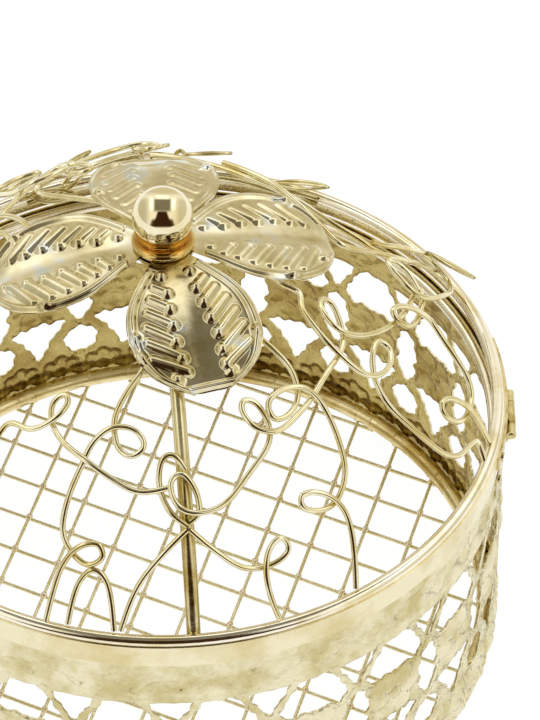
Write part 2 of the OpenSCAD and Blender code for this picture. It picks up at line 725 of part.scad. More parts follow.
base_ring();
base_mesh();
lace_panel(0);  // lace_panel_1
lace_panel(1);  // lace_panel_2
rim_ring();
hinge_box_leaf();
hinge_lid_leaf();
hinge_pin();
hinge_box_rivets();
hinge_lid_rivets();
lid_ring();
lid_band();
rib_front();
rib_back();
hub_plate();
hub_nut();
finial_stud();
finial_collar();
finial_ball();
petal_front();
petal_right();
petal_back();
petal_left();
scroll(scroll_routes[0]);  // scroll_front_1
scroll(scroll_routes[1]);  // scroll_front_2
scroll(scroll_routes[2]);  // scroll_front_3
scroll(scroll_routes[3]);  // scroll_front_4
scroll(scroll_routes[4]);  // scroll_front_5
scroll(scroll_routes[5]);  // scroll_front_6
scroll(scroll_routes[6]);  // scroll_front_7
scroll(scroll_routes[7]);  // scroll_front_8
scroll(scroll_routes[8]);  // scroll_front_9
scroll(scroll_routes[9]);  // scroll_front_10
scroll(scroll_routes[10]);  // scroll_front_11
scroll(scroll_routes[0], 180);  // scroll_back_1
scroll(scroll_routes[1], 180);  // scroll_back_2
scroll(scroll_routes[2], 180);  // scroll_back_3
scroll(scroll_routes[3], 180);  // scroll_back_4
scroll(scroll_routes[4], 180);  // scroll_back_5
scroll(scroll_routes[5], 180);  // scroll_back_6
scroll(right_routes[0]);  // scroll_right_1
scroll(right_routes[1]);  // scroll_right_2
scroll(right_routes[2]);  // scroll_right_3
vine_wire(vine_routes[0]);  // vine_wire_1
vine_wire(vine_routes[1]);  // vine_wire_2
vine_wire(vine_routes[2]);  // vine_wire_3
vine_wire(vine_routes[3]);  // vine_eye
vine_leaves();
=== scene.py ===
from math import asin, atan2, ceil, cos, exp, hypot, pi, radians, sin, sqrt

import bmesh
import bpy
from mathutils import Matrix, Vector


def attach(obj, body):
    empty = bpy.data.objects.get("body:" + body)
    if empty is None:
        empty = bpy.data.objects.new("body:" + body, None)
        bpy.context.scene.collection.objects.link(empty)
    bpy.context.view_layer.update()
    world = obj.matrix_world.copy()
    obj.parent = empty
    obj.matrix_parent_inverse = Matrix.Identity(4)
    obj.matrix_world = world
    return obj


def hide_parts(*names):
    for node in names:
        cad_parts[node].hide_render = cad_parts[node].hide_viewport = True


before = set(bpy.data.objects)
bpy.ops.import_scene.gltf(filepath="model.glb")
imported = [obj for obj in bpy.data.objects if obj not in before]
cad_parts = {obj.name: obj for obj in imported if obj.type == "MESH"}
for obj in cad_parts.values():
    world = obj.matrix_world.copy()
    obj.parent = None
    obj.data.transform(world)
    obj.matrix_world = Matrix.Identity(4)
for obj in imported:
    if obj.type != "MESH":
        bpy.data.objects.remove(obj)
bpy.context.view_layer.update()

bpy.ops.object.select_all(action="DESELECT")

# ---- Camera
# A long lens, high over the near rim, looking down through the dome to the mesh floor.
bpy.ops.object.camera_add(location=(0.0409, -1.2626, 1.3764), rotation=(radians(45.576), 0, 0))
camera = bpy.context.object
camera.data.lens = 225
camera.data.clip_end = 30
bpy.context.scene.camera = camera
bpy.context.scene.view_settings.view_transform = "Standard"


# ---- Studio
# A pale room that shows in every bright wire: white softboxes, a grey panel and a white strip in
# front, and one dark opening. The table is white paper that keeps the shadow.
def linear(code):
    """An sRGB hex colour as linear RGBA."""
    parts = [int(code[i:i + 2], 16) / 255 for i in (1, 3, 5)]
    return [c / 12.92 if c <= 0.04045 else ((c + 0.055) / 1.055) ** 2.4 for c in parts] + [1]


def add_node(tree, kind, links=None, **settings):
    """Adds a node, with its settings, and with values or links for its inputs."""
    node = tree.nodes.new(kind)
    for key, value in settings.items():
        setattr(node, key, value)
    for key, value in (links or {}).items():
        if isinstance(value, bpy.types.NodeSocket):
            tree.links.new(value, node.inputs[key])
        else:
            node.inputs[key].default_value = value
    return node


room = bpy.data.worlds.new("pale_room")
bpy.context.scene.world = room
room.use_nodes = True
tree = room.node_tree
tree.nodes.clear()
# The room is laid out as a mirror ball shows it from high in front: 0 in the middle of the ball,
# 1 at its edge, across it, up it, to either side, and along the leaning sides of the opening.
TO_FRONT = Vector((0, -0.714, 0.700))
UP_THE_BALL = Vector((0, 0.700, 0.714))
SIDE_LEAN = 0.348
direction = add_node(tree, "ShaderNodeTexCoord").outputs["Generated"]
halfway = add_node(tree, "ShaderNodeVectorMath", {0: direction, 1: TO_FRONT}, operation="ADD")
halfway = add_node(tree, "ShaderNodeVectorMath", {0: halfway.outputs[0]}, operation="NORMALIZE")
across = add_node(tree, "ShaderNodeVectorMath", {0: halfway.outputs[0], 1: (1, 0, 0)},
                  operation="DOT_PRODUCT").outputs["Value"]
upward = add_node(tree, "ShaderNodeVectorMath", {0: halfway.outputs[0], 1: UP_THE_BALL},
                  operation="DOT_PRODUCT").outputs["Value"]
beside = add_node(tree, "ShaderNodeMath", {0: across}, operation="ABSOLUTE").outputs[0]
leaning = add_node(tree, "ShaderNodeMath", {0: upward, 1: SIDE_LEAN, 2: beside},
                   operation="MULTIPLY_ADD").outputs[0]


def hang_card(room_light, sides, code, strength, soft):
    """Hangs a card of one shade in the room: for each of its directions, where it starts and
    ends. Its edges fade over twice the soft distance."""
    mask = None
    for place, low, high in sides:
        for start, full in ((low - soft, low + soft), (high + soft, high - soft)):
            edge = add_node(tree, "ShaderNodeMapRange",
                            {"Value": place, "From Min": start, "From Max": full},
                            interpolation_type="SMOOTHSTEP").outputs["Result"]
            mask = edge if mask is None else add_node(tree, "ShaderNodeMath", {0: mask, 1: edge},
                                                      operation="MULTIPLY").outputs[0]
    shade = [c * strength for c in linear(code)[:3]] + [1]
    return add_node(tree, "ShaderNodeMix", {0: mask, 6: room_light, 7: shade},
                    data_type="RGBA").outputs[2]


ROOM_LIGHT = 1.12
light = add_node(tree, "ShaderNodeRGB").outputs[0]
light.default_value = [c * ROOM_LIGHT for c in linear("#fffcf6")[:3]] + [1]
# The warm back wall, and the walls at the right and the left
light = hang_card(light, [(upward, 0.7, 2)], "#ded6c0", 1, 0.1)
light = hang_card(light, [(across, 0.46, 2), (upward, -0.4, 0.6)], "#dbd5be", 1, 0.14)
light = hang_card(light, [(across, -2, -0.46), (upward, -0.4, 0.6)], "#cfccbc", 1, 0.14)
# Two softboxes with a grey panel between them, and a white strip over it
light = hang_card(light, [(beside, 0.28, 0.40), (upward, 0.2, 0.57)], "#ffffff", 1.7, 0.06)
light = hang_card(light, [(beside, -1, 0.27), (upward, 0.15, 0.56)], "#858072", 1, 0.06)
light = hang_card(light, [(beside, -1, 0.21), (upward, 0.56, 0.66)], "#ffffff", 1.6, 0.05)
# The brown threshold of the opening, and the dark opening itself, wider at its foot
light = hang_card(light, [(leaning, -1, 0.3), (upward, -0.37, -0.1)], "#5a4424", 1, 0.06)
light = hang_card(light, [(leaning, -1, 0.197), (upward, -0.342, 0.152)], "#3c2616", 1, 0.04)
glow = add_node(tree, "ShaderNodeBackground", {"Color": light, "Strength": 1.0})
white = add_node(tree, "ShaderNodeBackground", {"Color": (1, 1, 1, 1), "Strength": 1.0})
ray = add_node(tree, "ShaderNodeLightPath")
shown = add_node(tree, "ShaderNodeMixShader", {0: ray.outputs["Is Camera Ray"],
                                               1: glow.outputs[0], 2: white.outputs[0]})
add_node(tree, "ShaderNodeOutputWorld", {"Surface": shown.outputs[0]})

# The paper glows to the lens and in the metal, so that both show it white. A share of it stays
# matt, which keeps the soft shadow.
TABLE_GLOW = 1.07
GLOWING_SHARE = 0.9
bpy.ops.mesh.primitive_plane_add(size=12, location=(0, 0, 0))
table = bpy.context.object
table.name = "table"
sheet = bpy.data.materials.new("white_paper_table")
sheet.use_nodes = True
tree = sheet.node_tree
tree.nodes.clear()
ray = add_node(tree, "ShaderNodeLightPath")
seen = add_node(tree, "ShaderNodeMath", {0: ray.outputs["Is Camera Ray"],
                                         1: ray.outputs["Is Glossy Ray"]}, operation="MAXIMUM")
share = add_node(tree, "ShaderNodeMath", {0: seen.outputs[0], 1: GLOWING_SHARE},
                 operation="MULTIPLY")
matt = add_node(tree, "ShaderNodeBsdfDiffuse", {"Color": linear("#f4f3f0")})
white = add_node(tree, "ShaderNodeEmission", {"Color": (1, 1, 1, 1), "Strength": TABLE_GLOW})
mixed = add_node(tree, "ShaderNodeMixShader", {0: share.outputs[0], 1: matt.outputs[0],
                                               2: white.outputs[0]})
add_node(tree, "ShaderNodeOutputMaterial", {"Surface": mixed.outputs[0]})
table.data.materials.append(sheet)


# ---- Base ring
# A bent rod of plated steel, welded into a ring under the foot of the lace. Its plating has worn
# to a darker, olive gold, and a small bead of weld stands where each floor wire meets it.
WARM_AT, PALE_AT, COOL_AT = 0.36, 0.57, 0.66
RIPPLE_RISE = 0.0003
CREASE_RISE = 0.0012


def gold_plating(name, pale, warm, roughness, patch_mm, ripple_mm=1.5, ripple=0.1,
                 stamp_mm=0, rise_mm=None, cool=None):
    """Steel or brass with thin bright plating: pale where it is full, warm where it is thin,
    and cool where another bath shows. The fine ripple of the rolled metal breaks up what it
    mirrors, and a stamp leaves small creases. With two heights in rise_mm, the tone goes from
    pale at the lower one to warm at the upper one."""
    metal = bpy.data.materials.new(name)
    metal.use_nodes = True
    tree = metal.node_tree
    tree.nodes.clear()
    place = add_node(tree, "ShaderNodeTexCoord").outputs["Object"]
    patches = add_node(tree, "ShaderNodeTexNoise", {"Vector": place, "Scale": 1000 / patch_mm,
                                                    "Detail": 4, "Roughness": 0.6})
    where = patches.outputs["Fac"]
    if rise_mm:
        height = add_node(tree, "ShaderNodeSeparateXYZ", {"Vector": place}).outputs["Z"]
        where = add_node(tree, "ShaderNodeMapRange",
                         {"Value": height, "From Min": rise_mm[0] / 1000,
                          "From Max": rise_mm[1] / 1000, "To Min": PALE_AT + 0.05,
                          "To Max": WARM_AT - 0.04}).outputs["Result"]
    tone = add_node(tree, "ShaderNodeValToRGB", {"Fac": where})
    if cool:
        tone.color_ramp.elements.new(0.5)
    tones = ((WARM_AT, warm), (PALE_AT, pale), (COOL_AT, cool))
    for stop, (at, code) in zip(tone.color_ramp.elements, tones):
        stop.position = at
        stop.color = linear(code)
    grain = add_node(tree, "ShaderNodeTexNoise", {"Vector": place, "Scale": 1000 / ripple_mm,
                                                  "Detail": 3})
    rough = add_node(tree, "ShaderNodeMapRange", {"Value": grain.outputs["Fac"], "From Min": 0.3,
                                                  "From Max": 0.7, "To Min": roughness * 0.75,
                                                  "To Max": roughness * 1.35})
    bump = add_node(tree, "ShaderNodeBump", {"Height": grain.outputs["Fac"], "Strength": ripple,
                                             "Distance": RIPPLE_RISE})
    if stamp_mm:
        creases = add_node(tree, "ShaderNodeTexVoronoi",
                           {"Vector": place, "Scale": 1000 / stamp_mm}, feature="SMOOTH_F1")
        bump = add_node(tree, "ShaderNodeBump", {"Height": creases.outputs["Distance"],
                                                 "Strength": 0.35, "Distance": CREASE_RISE,
                                                 "Normal": bump.outputs["Normal"]})
    shader = add_node(tree, "ShaderNodeBsdfPrincipled", {"Base Color": tone.outputs["Color"],
                                                         "Metallic": 1.0,
                                                         "Roughness": rough.outputs["Result"],
                                                         "Normal": bump.outputs["Normal"]})
    add_node(tree, "ShaderNodeOutputMaterial", {"Surface": shader.outputs[0]})
    return metal


def finish_with(metal, *names):
    """Gives a metal to solids that keep their shape."""
    for name in names:
        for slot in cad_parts[name].material_slots:
            slot.material = metal


def fit_piece(piece, name, metal, body, slot, *stands_for):
    """Names a finished piece, plates it, and fixes it to its body."""
    piece.name = name
    piece.data.name = name
    piece.data.materials.clear()
    piece.data.materials.append(metal)
    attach(piece, body)
    if stands_for:
        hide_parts(*stands_for)


def take_up(piece):
    """Leaves just that piece selected and active."""
    bpy.ops.object.select_all(action="DESELECT")
    piece.select_set(True)
    bpy.context.view_layer.objects.active = piece


def join_up(parts):
    """Joins meshes into the first of them."""
    take_up(parts[0])
    for part in parts:
        part.select_set(True)
    bpy.ops.object.join()
    return bpy.context.object


# Worn plating on drawn rod: one broad, dull gleam, darker where the gold is thin.
base_metal = gold_plating("worn_gold_plated_rod", "#f3e4b0", "#cbb068", 0.3, 20, 4, 0.03)
finish_with(base_metal, "base_ring")

# ---- Floor mesh
# Two layers of drawn wire, spot-welded where they cross and cut off under the base ring. The
# flash of heat leaves a small pale orange bead at each crossing. Sizes are in millimetres.
WALL_R = 132.5
BASE_ROD_R = 3.2
BASE_RING_R = WALL_R - BASE_ROD_R + 0.1
BASE_RING_Z = 6.1
MESH_WIRE = 1.5
MESH_MARGIN = 2
# Each layer: azimuth of its wires, height, distance between them, share of it to the first.
MESH_LAYERS = ((-25.7, 1.1, 18.4, 0.776), (74.0, 2.5, 19.7, 0.577))
# The beads: half widths along, across and up.
SPOT_WELD = (1.5, 1.5, 1.1)
SPOT_WELD_Z = 2.5
FOOT_WELD = (3.6, 1.2, 3.6)
BEAD_UNEVEN = 0.12


def mesh_lines(azimuth, z, pitch, shift):
    """Both ends of each wire of one layer."""
    along = Vector((cos(radians(azimuth)), sin(radians(azimuth)), 0))
    aside = Vector((-along.y, along.x, 0))
    count = ceil(BASE_RING_R / pitch)
    for i in range(-count, count + 1):
        off = (i + shift) * pitch
        if abs(off) < BASE_RING_R - MESH_MARGIN:
            half = sqrt(BASE_RING_R ** 2 - off ** 2)
            if half > 2 * BASE_ROD_R:
                yield [aside * off + along * k * half + Vector((0, 0, z)) for k in (-1, 1)]


def bend_wire(route, gauge, closed=False, sides=3):
    """A round wire of that gauge through points."""
    curve = bpy.data.curves.new("wire", "CURVE")
    curve.dimensions = "3D"
    curve.bevel_depth = gauge / 2000
    curve.bevel_resolution = sides
    curve.use_fill_caps = not closed
    spline = curve.splines.new("POLY")
    spline.points.add(len(route) - 1)
    for point, p in zip(spline.points, route):
        point.co = (p[0] / 1000, p[1] / 1000, p[2] / 1000, 1)
    spline.use_cyclic_u = closed
    piece = bpy.data.objects.new("wire", curve)
    bpy.context.collection.objects.link(piece)
    take_up(piece)
    bpy.ops.object.convert(target="MESH")
    bpy.ops.object.shade_smooth()
    return bpy.context.object


def weld_bead(place, radii, turn=0):
    """A small melted bead of metal, a little uneven, each one in its own way."""
    bpy.ops.mesh.primitive_uv_sphere_add(segments=10, ring_count=6, radius=0.001)
    bead = bpy.context.object
    for point in bead.data.vertices:
        wave = sin(4100 * point.co.x + 7 * place[0]) * sin(3700 * point.co.y + place[1])
        point.co = Vector((point.co.x * radii[0], point.co.y * radii[1],
                           point.co.z * radii[2])) * (1 + BEAD_UNEVEN * wave)
    bead.data.transform(Matrix.Translation(Vector(place) / 1000) @ Matrix.Rotation(turn, 4, "Z"))
    bpy.ops.object.shade_smooth()
    return bead


lower, upper = (list(mesh_lines(*layer)) for layer in MESH_LAYERS)
floor_mesh = join_up([bend_wire(line, MESH_WIRE, sides=2) for line in lower + upper])
# A thin flash of gold on rough-drawn wire: dull, with no clear reflections.
mesh_metal = gold_plating("gold_flashed_drawn_wire", "#fbf4d0", "#efe3ae", 0.5, 11)
fit_piece(floor_mesh, "floor_mesh", mesh_metal, "box", "mesh_wire", "base_mesh")

crossings = []
for a, b in lower:
    for c, d in upper:
        run, cut = b - a, d - c
        share = ((c - a).x * cut.y - (c - a).y * cut.x) / (run.x * cut.y - run.y * cut.x)
        spot = a + run * share
        if 0 < share < 1 and spot.xy.length < BASE_RING_R - MESH_MARGIN:
            crossings.append((spot.x, spot.y, SPOT_WELD_Z))
spots = join_up([weld_bead(p, SPOT_WELD) for p in crossings])
# Steel melted and gilt afterwards: pale, with a hint of orange from the heat.
spot_metal = gold_plating("heat_tinted_weld", "#fff6dc", "#ffe8ba", 0.35, 6)
fit_piece(spots, "mesh_welds", spot_metal, "box", "mesh_wire")

foot = []
for line in lower + upper:
    for end in line:
        swing = atan2(end.y, end.x)
        foot.append(weld_bead((end.x, end.y, BASE_RING_Z), FOOT_WELD, swing))
foot_beads = join_up(foot)
fit_piece(foot_beads, "base_weld_beads", base_metal, "box", "base_rod")

# ---- Lace wall
# Two half-round sheets of thin plated steel, pierced and stamped into a border of flowers, a row
# of rosettes with windows between them, and a plain rolled border at the top. They meet edge to
# edge at two seams and are welded to the rings at the foot and the rim.
LACE_T = 0.8
ROSETTES = 22
ROSETTE_AZ = 34.1
SEAM_AZ = -27.6
SEAM_GAP = 0.2
WALL_H = 108.5
FLOWER_BORDER = 20.5
DRAW_PITCH = 37.84
LACE_PITCH = 2 * pi * WALL_R / ROSETTES
# How the edges of the windows are cut: points to each stretch, and depth and length of a scallop.
EDGE_STEPS = 5
FRILL = 0.34
FRILL_PITCH = 5.3


def half_outline(points):
    """A whole outline from its right half."""
    return points + [(-x, y) for x, y in reversed(points) if x > 0]


# Outlines of the windows, drawn about a middle line, up from the top of the flower border.
HIGH_WINDOW = half_outline([(0, 47.1), (3.5, 46.5), (6, 47.5), (9, 46.1), (12, 47.1), (14.2, 50),
                            (13.6, 54), (11.2, 58.7), (8.2, 63.5), (6.2, 65.9), (3, 66.5)])
LOW_WINDOW = half_outline([(0, 1), (1.6, 2.5), (4, 7.5), (7.5, 13), (11.6, 17.9), (12, 19.9),
                           (9, 21.5), (6, 20.5), (3, 21.7)])
FAN = half_outline([(0, 52.3), (2.4, 54.9), (6.4, 61.5), (8.3, 64.9), (6.5, 66.5)])
EGG = half_outline([(0, 19.7), (3, 21.9), (5.4, 27), (4.8, 31), (6, 35.5), (5.2, 40),
                    (3.6, 44.5), (1.4, 46.9)])
EYE_R, EYE_Z, EYE_SIDES = 7.3, 7.9, 16
EYE = [(EYE_R * cos(2 * pi * k / EYE_SIDES), EYE_Z + EYE_R * sin(2 * pi * k / EYE_SIDES))
       for k in range(EYE_SIDES)]


def curve_at(a, b, c, d, t):
    """The place at a share of the way from b to c, on a smooth curve through all four."""
    return 0.5 * (2 * b + (c - a) * t + (2 * a - 5 * b + 4 * c - d) * t * t
                  + (3 * b - a - 3 * c + d) * t ** 3)


def rounded(outline):
    """A closed outline with its corners eased and its edge cut in small scallops."""
    points = [Vector(p) for p in outline]
    n = len(points)
    loop = [curve_at(points[i - 1], points[i], points[(i + 1) % n], points[(i + 2) % n],
                     k / EDGE_STEPS) for i in range(n) for k in range(EDGE_STEPS)]
    run, frilled = 0, []
    for before, point, after in zip(loop[-1:] + loop[:-1], loop, loop[1:] + loop[:1]):
        run += (point - before).length
        along = (after - before).normalized()
        wave = FRILL * (sin(2 * pi * run / FRILL_PITCH) + sin(2 * pi * run / (1.7 * FRILL_PITCH)))
        frilled.append(point + Vector((along.y, -along.x)) * wave)
    return frilled


# Windows of one repeat that starts at the seam, in millimetres along the wall and up it.
phase = ((ROSETTE_AZ - SEAM_AZ) / (360 / ROSETTES)) % 1
stretch = LACE_PITCH / DRAW_PITCH
windows = []
for shift in (-1, 0, 1):
    for outline, at in ((HIGH_WINDOW, phase), (LOW_WINDOW, phase), (FAN, phase + 0.5),
                        (EGG, phase + 0.5), (EYE, phase + 0.5)):
        shape = [((at + shift) * LACE_PITCH + p.x * stretch, FLOWER_BORDER + p.y)
                 for p in rounded(outline)]
        if max(x for x, z in shape) > 0 and min(x for x, z in shape) < LACE_PITCH:
            windows.append(shape)

# One repeat of the sheet, flat, standing in millimetres. The windows are punched out of it.
bpy.ops.mesh.primitive_grid_add(x_subdivisions=38, y_subdivisions=108, size=1)
repeat = bpy.context.object
for point in repeat.data.vertices:
    point.co = ((point.co.x + 0.5) * LACE_PITCH, LACE_T / 2, (point.co.y + 0.5) * WALL_H)
wall = repeat.modifiers.new("sheet", "SOLIDIFY")
wall.thickness = LACE_T
wall.offset = 0
bpy.ops.object.modifier_apply(modifier=wall.name)

PUNCH_FROM, PUNCH_LENGTH = -3, 7
punches = []
for shape in windows:
    punch = bpy.data.meshes.new("punch")
    tool = bmesh.new()
    face = tool.faces.new([tool.verts.new((x, PUNCH_FROM, z)) for x, z in shape])
    body = bmesh.ops.extrude_face_region(tool, geom=[face])
    bmesh.ops.translate(tool, vec=(0, PUNCH_LENGTH, 0),
                        verts=[v for v in body["geom"] if isinstance(v, bmesh.types.BMVert)])
    bmesh.ops.recalc_face_normals(tool, faces=tool.faces[:])
    tool.to_mesh(punch)
    tool.free()
    punches.append(bpy.data.objects.new("punch", punch))
    bpy.context.collection.objects.link(punches[-1])
punch = join_up(punches)
take_up(repeat)
cut = repeat.modifiers.new("pierce", "BOOLEAN")
cut.object = punch
cut.solver = "EXACT"
cut.operation = "DIFFERENCE"
bpy.ops.object.modifier_apply(modifier=cut.name)
bpy.data.objects.remove(punch)

# The ends of the repeat are opened, so that eleven of them join into one sheet.
END_MARGIN = 1e-3
mesh = bmesh.new()
mesh.from_mesh(repeat.data)
ends = [f for f in mesh.faces if all(v.co.x < END_MARGIN for v in f.verts)
        or all(v.co.x > LACE_PITCH - END_MARGIN for v in f.verts)]
bmesh.ops.delete(mesh, geom=ends, context="FACES")
mesh.to_mesh(repeat.data)
mesh.free()
take_up(repeat)
row = repeat.modifiers.new("row", "ARRAY")
row.count = ROSETTES // 2
row.use_relative_offset = False
row.use_constant_offset = True
row.constant_offset_displace = (LACE_PITCH, 0, 0)
row.use_merge_vertices = True
row.merge_threshold = 0.02
bpy.ops.object.modifier_apply(modifier=row.name)
mesh = bmesh.new()
mesh.from_mesh(repeat.data)
bmesh.ops.holes_fill(mesh, edges=[e for e in mesh.edges if e.is_boundary], sides=0)
bmesh.ops.recalc_face_normals(mesh, faces=mesh.faces[:])
mesh.to_mesh(repeat.data)
mesh.free()


# The stamping. Flowers: place along and up, lobes, radius and height. The rest: height and half
# width of the hem round each window, the wave with bosses, and the two beads of the top border.
FLOWERS = [(0, 54.6, 6, 12.2, 1.9), (9.5, 10.6, 8, 9.6, 1.6), (-9.5, 10.6, 8, 9.6, 1.6)]
LOBE_DEPTH = 0.07
FLOWER_EYE_R = 3.2
EYE_CREASE_R = 2.6
HEM, HEM_IN = (0.8, 0.8), 0.9
WAVE, WAVE_Z, WAVE_SWING = (0.9, 1.3), 97.5, 3.2
BOSS, BOSSES, BOSS_Z = (1.0, 1.789), 8, (93.6, 101.4, 101.4, 93.6)
BORDER, BORDER_Z = (0.6, 0.9), (89.5, 105)


def swell(off, height, width):
    """Height of a soft raised line or boss, at a distance from its middle."""
    return height * exp(-(off / width) ** 2)


def stamped_flower(x, z, lobes, radius, height):
    """Height of a round stamped flower: domed lobes, a crease between each two, and an eye."""
    r, swing = hypot(x, z), atan2(z, x)
    edge = radius * (1 + LOBE_DEPTH * cos(lobes * swing))
    if r > edge:
        return 0
    eye_bump = 0.9 * cos(pi / 2 * min(r / FLOWER_EYE_R, 1)) ** 0.7
    lobe = sqrt(abs(cos(lobes * swing / 2)))
    bow = sin(pi * min(max((r - EYE_CREASE_R) / (edge - EYE_CREASE_R), 0), 1)) ** 0.6
    return height * max(eye_bump, bow * (0.25 + 0.75 * lobe))


def to_edge(x, z, shape):
    """Distance from a point to the nearest side of a window."""
    best = WALL_H
    for (ax, az), (bx, bz) in zip(shape, shape[1:] + shape[:1]):
        run = (bx - ax) ** 2 + (bz - az) ** 2
        t = min(max(((x - ax) * (bx - ax) + (z - az) * (bz - az)) / run, 0), 1) if run else 0
        best = min(best, hypot(x - ax - t * (bx - ax), z - az - t * (bz - az)))
    return best


# Each window with the box round it in which its hem can be.
HEM_REACH = 3
boxes = [(min(x for x, z in s) - HEM_REACH, max(x for x, z in s) + HEM_REACH,
          min(z for x, z in s) - HEM_REACH, max(z for x, z in s) + HEM_REACH, s)
         for s in windows]


def relief(x, z):
    """How far the stamp pushes the sheet out at a place in a repeat."""
    x %= LACE_PITCH
    rise = 0
    for shift in (-1, 0, 1):
        middle = (phase + shift) * LACE_PITCH
        for at, up, lobes, radius, height in FLOWERS:
            rise = max(rise, stamped_flower(x - middle - at, z - up, lobes, radius, height))
    near = min([to_edge(x, z, s) for x0, x1, z0, z1, s in boxes if x0 < x < x1 and z0 < z < z1]
               or [WALL_H])
    rise = max(rise, swell(near - HEM_IN, *HEM))
    rise = max(rise, swell(z - WAVE_Z - WAVE_SWING * sin(4 * pi * x / LACE_PITCH), *WAVE))
    for boss in range(BOSSES):
        spot_x, spot_z = (boss + 0.5) * LACE_PITCH / BOSSES, BOSS_Z[boss % 4]
        rise = max(rise, swell(hypot(x - spot_x, z - spot_z), *BOSS))
    return max(rise, *(swell(z - line, *BORDER) for line in BORDER_Z))


# Plating over a stamped sheet, outside the wall: bright, with small creases that catch the light.
lace_metal = gold_plating("stamped_plated_sheet", "#f0e8c4", "#d2c48e", 0.3, 18, stamp_mm=4.5)
# Painted shade: the inside of the wall, in shade, takes a darker, browner copy of the plating.
inner_painted_shade_metal = gold_plating("sheet_inside_painted_shade", "#cbb876", "#a88f4e", 0.3, 22, stamp_mm=4.5)
RELIEF_FROM, RELIEF_FULL = -1, 3
# How far a face must turn into the box to take the painted shade.
FACES_IN = -0.3
relief_at = {}
for index, name in enumerate(("lace_panel_1", "lace_panel_2")):
    panel = repeat.copy()
    panel.data = repeat.data.copy()
    bpy.context.collection.objects.link(panel)
    edge = asin(SEAM_GAP / 2 / WALL_R)
    start = radians(SEAM_AZ) + index * pi + edge
    turn = (pi - 2 * edge) / (ROSETTES // 2 * LACE_PITCH)
    for point in panel.data.vertices:
        x, y, z = point.co
        key = (round(x % LACE_PITCH, 2), round(z, 2))
        if key not in relief_at:
            relief_at[key] = relief(x, z)
        share = min((z - RELIEF_FROM) / (RELIEF_FULL - RELIEF_FROM), 1)
        r = WALL_R + y + relief_at[key] * share
        swing = start + x * turn
        point.co = (r * cos(swing) / 1000, r * sin(swing) / 1000, z / 1000)
    take_up(panel)
    bpy.ops.object.shade_smooth_by_angle(angle=radians(40))
    # Laid round the wall from below, the sheet came out inside out.
    panel.data.flip_normals()
    fit_piece(panel, f"{name}_sheet", lace_metal, "box", "lace_sheet", name)
    # Painted shade: the faces turned into the box take the darker copy of the plating.
    panel.data.materials.append(inner_painted_shade_metal)
    for face in panel.data.polygons:
        out = face.normal.xy.dot(face.center.xy) / face.center.xy.length
        face.material_index = int(out < FACES_IN)
bpy.data.objects.remove(repeat)

# ---- Rim ring and hinge
# A bright rod is welded inside the top of the lace. Two riveted leaves of plated steel with rolled
# knuckles and a pin carry the lid at the right.

# Full plating on smooth rod: a clear, pale line of light along it.
rod_metal = gold_plating("bright_plated_rod", "#faf3df", "#e6d8ac", 0.12, 18, 2.5, 0.06)
finish_with(rod_metal, "rim_ring", "lid_ring")
# Plating rubbed by opening and shutting: patchy, and duller than the rods.
hinge_metal = gold_plating("rubbed_plated_steel", "#e2d5a2", "#b39c5c", 0.24, 7)
finish_with(hinge_metal, "hinge_box_leaf", "hinge_lid_leaf", "hinge_pin", "hinge_box_rivets",
            "hinge_lid_rivets")

# ---- Lid frame
# The lid hangs on a rod ring with a thin band under it, dimpled all round by a bead wheel. Two
# half ribs of heavier rod rise from the ring to the hub.

# Rolled strip: smooth and pale, with long, soft changes of tone.
band_metal = gold_plating("rolled_plated_band", "#f2e9c6", "#dfcf9c", 0.22, 26)
finish_with(band_metal, "lid_band")
# Heavier rod, plated thinner: a little darker and more olive than the rings.
rib_metal = gold_plating("plated_rib_rod", "#e6dbae", "#c2ad68", 0.2, 16, 2)
finish_with(rib_metal, "rib_front", "rib_back")

# ---- Hub and finial
# The petals are held under a turned orange-gold collar and a polished hollow ball, drawn down by
# a stud and nut through a small plate.

# Plain steel parts under the flower, which nobody polishes: dull and a little dark.
hub_metal = gold_plating("plain_plated_steel", "#d2c084", "#a89050", 0.28, 8)
finish_with(hub_metal, "hub_plate", "hub_nut", "finial_stud")
COLLAR_Z = 201.9
COLLAR_STEPS = 64
# Outline of the collar from the cup under the ball, down its waist, to the flared foot.
COLLAR_SHAPE = [(9.4, 7.2), (10.3, 7.0), (10.9, 6.2), (10.7, 5.0), (10.3, 4.2), (10.6, 3.4),
                (11.8, 2.7), (12.4, 1.7), (12.1, 0.5), (11.2, 0.05), (7, 0.05), (7, 2), (8, 4)]
collar = bpy.data.objects.new("collar", bpy.data.meshes.new("collar"))
bpy.context.collection.objects.link(collar)
mesh = bmesh.new()
rim = [mesh.verts.new((r / 1000, 0, (COLLAR_Z + z) / 1000)) for r, z in COLLAR_SHAPE]
outline = [mesh.edges.new(pair) for pair in zip(rim, rim[1:] + rim[:1])]
bmesh.ops.spin(mesh, geom=rim + outline, axis=(0, 0, 1), cent=(0, 0, 0), angle=2 * pi,
               steps=COLLAR_STEPS, use_merge=True)
bmesh.ops.remove_doubles(mesh, verts=mesh.verts[:], dist=1e-6)
bmesh.ops.recalc_face_normals(mesh, faces=mesh.faces[:])
mesh.to_mesh(collar.data)
mesh.free()
take_up(collar)
round_off = collar.modifiers.new("round_off", "SUBSURF")
round_off.levels = round_off.render_levels = 2
bpy.ops.object.modifier_apply(modifier=round_off.name)
bpy.ops.object.shade_smooth()
# Turned brass with a warm lacquer: orange round the waist, pale gold on the foot.
collar_metal = gold_plating("orange_gold_turned_brass", "#dcc27c", "#be8630", 0.1, 10, 2, 0.03,
                            rise_mm=(COLLAR_Z + 2.2, COLLAR_Z + 3.6))
fit_piece(collar, "collar_turned", collar_metal, "lid", "collar_metal", "finial_collar")
# Polished and then plated: a mirror that shows the whole room.
ball_metal = gold_plating("mirror_plated_ball", "#f6eccc", "#eadcae", 0.05, 20, 4, 0.04)
finish_with(ball_metal, "finial_ball")

